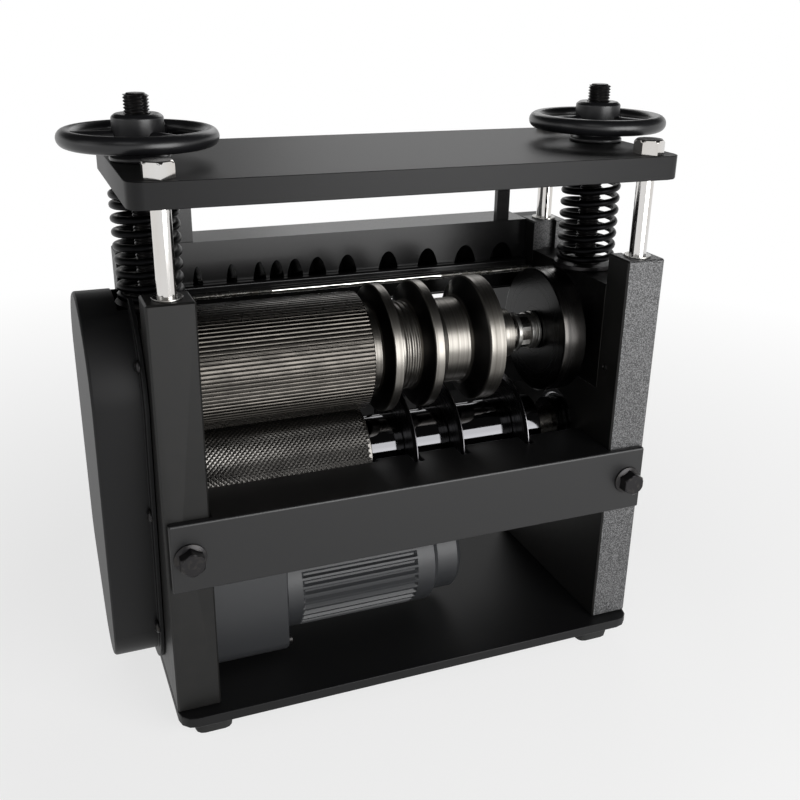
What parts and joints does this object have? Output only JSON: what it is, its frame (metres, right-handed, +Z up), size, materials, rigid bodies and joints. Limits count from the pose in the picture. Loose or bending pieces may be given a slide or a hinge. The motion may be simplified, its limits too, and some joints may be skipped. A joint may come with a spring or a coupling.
{
  "type": "cable stripping machine",
  "caption": "Bench cable stripper: motor-driven grooved and fluted rollers over disc blades, with a sprung upper carriage and two handwheels.",
  "frame": {"origin": "under the middle of the machine, on the surface that it stands on", "axes": "+X along the shafts away from the gear cover, +Y towards the side where cable is fed in and where the controls are, +Z up"},
  "size_m": [0.429, 0.26, 0.4269],
  "materials": {
    "black_paint": "satin",
    "hammered_paint": "textured",
    "black_oxide": "satin",
    "roller_steel": "satin",
    "groove_steel": "polished",
    "blade_steel": "polished",
    "dark_steel": "polished",
    "bearing_steel": "polished",
    "bright_steel": "polished",
    "chrome": "polished",
    "spring_steel": "satin",
    "gear_steel": "satin",
    "motor_grey": "satin",
    "rubber": "matte",
    "black_plastic": "matte",
    "red_plastic": "gloss",
    "green_plastic": "gloss"
  },
  "bodies": {
    "frame": {"base_plate": "black_paint", "control_box": "black_paint", "control_panel": "black_plastic", "feed_rest_bar": "black_paint", "front_crossbar": "black_paint", "front_left_post": "chrome", "front_right_post": "chrome", "gear_cover": "black_paint", "gearbox": "motor_grey", "idler_pin": "bright_steel", "inlet_guide": "black_paint", "inlet_lip": "black_paint", "left_crossbar_bolt": "black_oxide", "left_foot_rail": "rubber", "left_lower_bearing": "bearing_steel", "left_side_casting": "black_paint", "left_spring": "spring_steel", "motor_body": "motor_grey", "power_inlet": "black_plastic", "rear_left_post": "chrome", "rear_right_post": "chrome", "rear_tie_bar": "black_paint", "right_crossbar_bolt": "black_oxide", "right_foot_rail": "rubber", "right_lower_bearing": "bearing_steel", "right_side_casting": "hammered_paint", "right_spring": "spring_steel", "tie_rod": "bright_steel", "top_plate": "black_paint"},
    "upper_carriage": {"left_slider_block": "roller_steel", "right_slider_block": "roller_steel", "left_lift_screw": "bright_steel", "right_lift_screw": "bright_steel", "left_upper_bearing": "bearing_steel", "right_upper_bearing": "bearing_steel"},
    "upper_shaft_set": {"upper_shaft": "bright_steel", "fluted_roller": "roller_steel", "relief_roller": "groove_steel", "narrow_groove_roller": "groove_steel", "wide_groove_roller": "groove_steel", "waisted_spool": "bright_steel", "end_roller": "groove_steel", "upper_gear": "gear_steel"},
    "lower_shaft_set": {"lower_shaft": "bright_steel", "knurled_roller": "dark_steel", "disc_blade_1": "blade_steel", "disc_blade_2": "blade_steel", "disc_blade_3": "blade_steel", "blade_spacer_1": "dark_steel", "blade_spacer_2": "dark_steel", "blade_spacer_3": "dark_steel", "lock_nut": "bright_steel", "lower_gear": "gear_steel"},
    "idler": {"idler_gear": "gear_steel"},
    "motor_output": {"output_pinion": "gear_steel"},
    "left_wheel": {"left_handwheel": "black_plastic"},
    "right_wheel": {"right_handwheel": "black_plastic"},
    "start_control": {"start_button": "green_plastic"},
    "stop_control": {"stop_button": "red_plastic"},
    "mushroom_control": {"emergency_stop_button": "red_plastic"}
  },
  "joints": [
    {"name": "lower_shaft_spin", "type": "hinge", "parent": "frame", "child": "lower_shaft_set", "pos_m": [0, -0.03445, 0.1644], "axis": [1, 0, 0], "continuous": true},
    {"name": "carriage_lift", "type": "slide", "parent": "frame", "child": "upper_carriage", "axis": [0, 0, 1], "range_m": [0, 0.006], "deforming": ["left_spring", "right_spring"]},
    {"name": "upper_shaft_spin", "type": "hinge", "parent": "upper_carriage", "child": "upper_shaft_set", "pos_m": [0, -0.03445, 0.2444], "axis": [1, 0, 0], "continuous": true},
    {"name": "idler_spin", "type": "hinge", "parent": "frame", "child": "idler", "pos_m": [0, -0.00102, 0.10983], "axis": [1, 0, 0], "continuous": true},
    {"name": "motor_output_spin", "type": "hinge", "parent": "frame", "child": "motor_output", "pos_m": [0, -0.03445, 0.07], "axis": [1, 0, 0], "continuous": true},
    {"name": "left_handwheel_turn", "type": "hinge", "parent": "frame", "child": "left_wheel", "pos_m": [-0.165, -0.03445, 0.4009], "axis": [0, 0, 1], "range_deg": [0, 1080]},
    {"name": "right_handwheel_turn", "type": "hinge", "parent": "frame", "child": "right_wheel", "pos_m": [0.165, -0.03445, 0.4009], "axis": [0, 0, 1], "range_deg": [0, 1080]},
    {"name": "start_press", "type": "slide", "parent": "frame", "child": "start_control", "axis": [0, -1, 0], "range_m": [0, 0.003], "stiffness_N_per_m": 400},
    {"name": "stop_press", "type": "slide", "parent": "frame", "child": "stop_control", "axis": [0, -1, 0], "range_m": [0, 0.003], "stiffness_N_per_m": 400},
    {"name": "emergency_stop_press", "type": "slide", "parent": "frame", "child": "mushroom_control", "axis": [0, -1, 0], "range_m": [0, 0.004], "stiffness_N_per_m": 400}
  ],
  "couplings": [
    {"joint": "upper_shaft_spin", "follows": "lower_shaft_spin", "ratio": -1},
    {"joint": "idler_spin", "follows": "lower_shaft_spin", "ratio": -1.6667},
    {"joint": "motor_output_spin", "follows": "lower_shaft_spin", "ratio": 1.4286},
    {"joint": "left_handwheel_turn", "follows": "carriage_lift", "rad_per_m": 3141.6},
    {"joint": "right_handwheel_turn", "follows": "carriage_lift", "rad_per_m": 3141.6}
  ]
}
